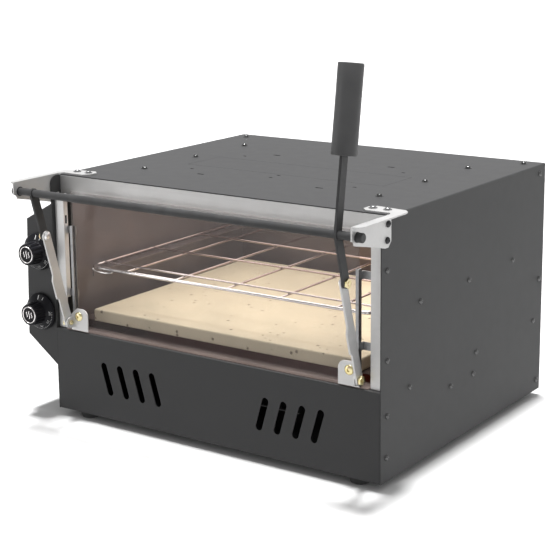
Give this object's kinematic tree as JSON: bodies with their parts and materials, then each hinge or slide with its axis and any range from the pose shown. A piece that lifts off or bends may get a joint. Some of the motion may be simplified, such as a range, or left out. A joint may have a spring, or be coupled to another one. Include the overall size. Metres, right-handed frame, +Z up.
{
  "type": "countertop pizza oven",
  "caption": "Countertop pizza oven with a lever-lifted guillotine glass door, baking stone, wire rack, dual thermostat controls and tubular heaters in a folded sheet-metal case.",
  "frame": {"origin": "centre of the whole oven's footprint, at the bottom of the feet", "axes": "+Z up, -Y towards the user at the glass door, +X to the user's right, where the lever's handle is"},
  "size_m": [0.699, 0.631, 0.6189],
  "materials": {
    "charcoal_paint": "fine satin powder coat",
    "light_paint": "satin light grey coat",
    "dark_steel": "satin charcoal coat",
    "grip_plastic": "satin",
    "yellow_zinc": "yellow passivated zinc plate",
    "bright_zinc": "bright zinc plate",
    "black_screws": "black oxide",
    "chamber_steel": "heat-dulled sheet steel",
    "chrome": "bright chrome",
    "element_steel": "heat-tinted tube",
    "ceramic": "unglazed steatite",
    "stone": "porous cordierite",
    "wool": "mineral wool",
    "clear_glass": "clear tempered glass",
    "knob_plastic": "gloss black",
    "thermostat_case": "moulded",
    "rubber": "matt",
    "gland_plastic": "moulded nylon"
  },
  "bodies": {
    "root": {"back_panel": "charcoal_paint", "back_screws": "black_screws", "base_panel": "charcoal_paint", "bracket_screws": "black_screws", "cable_gland": "gland_plastic", "ceramic_ends_lower": "ceramic", "ceramic_ends_upper": "ceramic", "chamber_back": "chamber_steel", "chamber_liner": "chamber_steel", "control_box": "charcoal_paint", "control_front": "charcoal_paint", "feet": "rubber", "front_lower_panel": "charcoal_paint", "glass_rail_left": "chamber_steel", "glass_rail_right": "chamber_steel", "heating_element_lower": "element_steel", "heating_element_upper": "element_steel", "insulation": "wool", "jamb_left": "light_paint", "jamb_right": "light_paint", "outer_wrap": "charcoal_paint", "rack_supports": "chamber_steel", "shaft_bracket_left": "light_paint", "shaft_bracket_right": "light_paint", "shaft_bushes": "dark_steel", "side_rivets_left": "black_screws", "side_rivets_right": "black_screws", "sill": "chamber_steel", "stone": "stone", "stone_supports": "chamber_steel", "terminal_block": "thermostat_case", "thermostat_bulbs": "element_steel", "thermostat_lower": "thermostat_case", "thermostat_upper": "thermostat_case", "top_band": "light_paint", "top_cover_plate": "charcoal_paint", "top_screws": "black_screws", "wire_rack": "chrome"},
    "lever": {"shaft": "dark_steel", "handle_arm": "dark_steel", "left_arm": "dark_steel", "grip": "grip_plastic", "arm_pins": "yellow_zinc", "shaft_caps": "dark_steel"},
    "door": {"door_glass": "clear_glass", "glass_spacers": "rubber", "glass_bracket_left": "light_paint", "glass_bracket_right": "light_paint", "glass_screws": "yellow_zinc", "pivot_bolts": "yellow_zinc"},
    "links": {"link_left": "light_paint", "link_right": "light_paint", "link_pin_heads": "bright_zinc"},
    "knob_upper": {"knob_upper": "knob_plastic", "knob_cap_upper": "chrome"},
    "knob_lower": {"knob_lower": "knob_plastic", "knob_cap_lower": "chrome"}
  },
  "joints": [
    {"name": "lever_turn", "type": "hinge", "parent": "root", "child": "lever", "pos_m": [0.0245, -0.302, 0.388], "axis": [1, 0, 0], "range_deg": [0, 105]},
    {"name": "door_lift", "type": "slide", "parent": "root", "child": "door", "axis": [0, 0, 1], "range_m": [0, 0.104]},
    {"name": "link_swing", "type": "hinge", "parent": "door", "child": "links", "pos_m": [0.0245, -0.2395, 0.165], "axis": [1, 0, 0], "range_deg": [-16.3, 0]},
    {"name": "upper_thermostat_turn", "type": "hinge", "parent": "root", "child": "knob_upper", "pos_m": [-0.3165, -0.2545, 0.274], "axis": [0, 1, 0], "range_deg": [0, 300]},
    {"name": "lower_thermostat_turn", "type": "hinge", "parent": "root", "child": "knob_lower", "pos_m": [-0.3165, -0.2545, 0.173], "axis": [0, 1, 0], "range_deg": [0, 300]}
  ],
  "couplings": [
    {"joint": "door_lift", "follows": "lever_turn", "m_per_rad": 0.056697},
    {"joint": "link_swing", "follows": "lever_turn", "ratio": -0.15463}
  ]
}
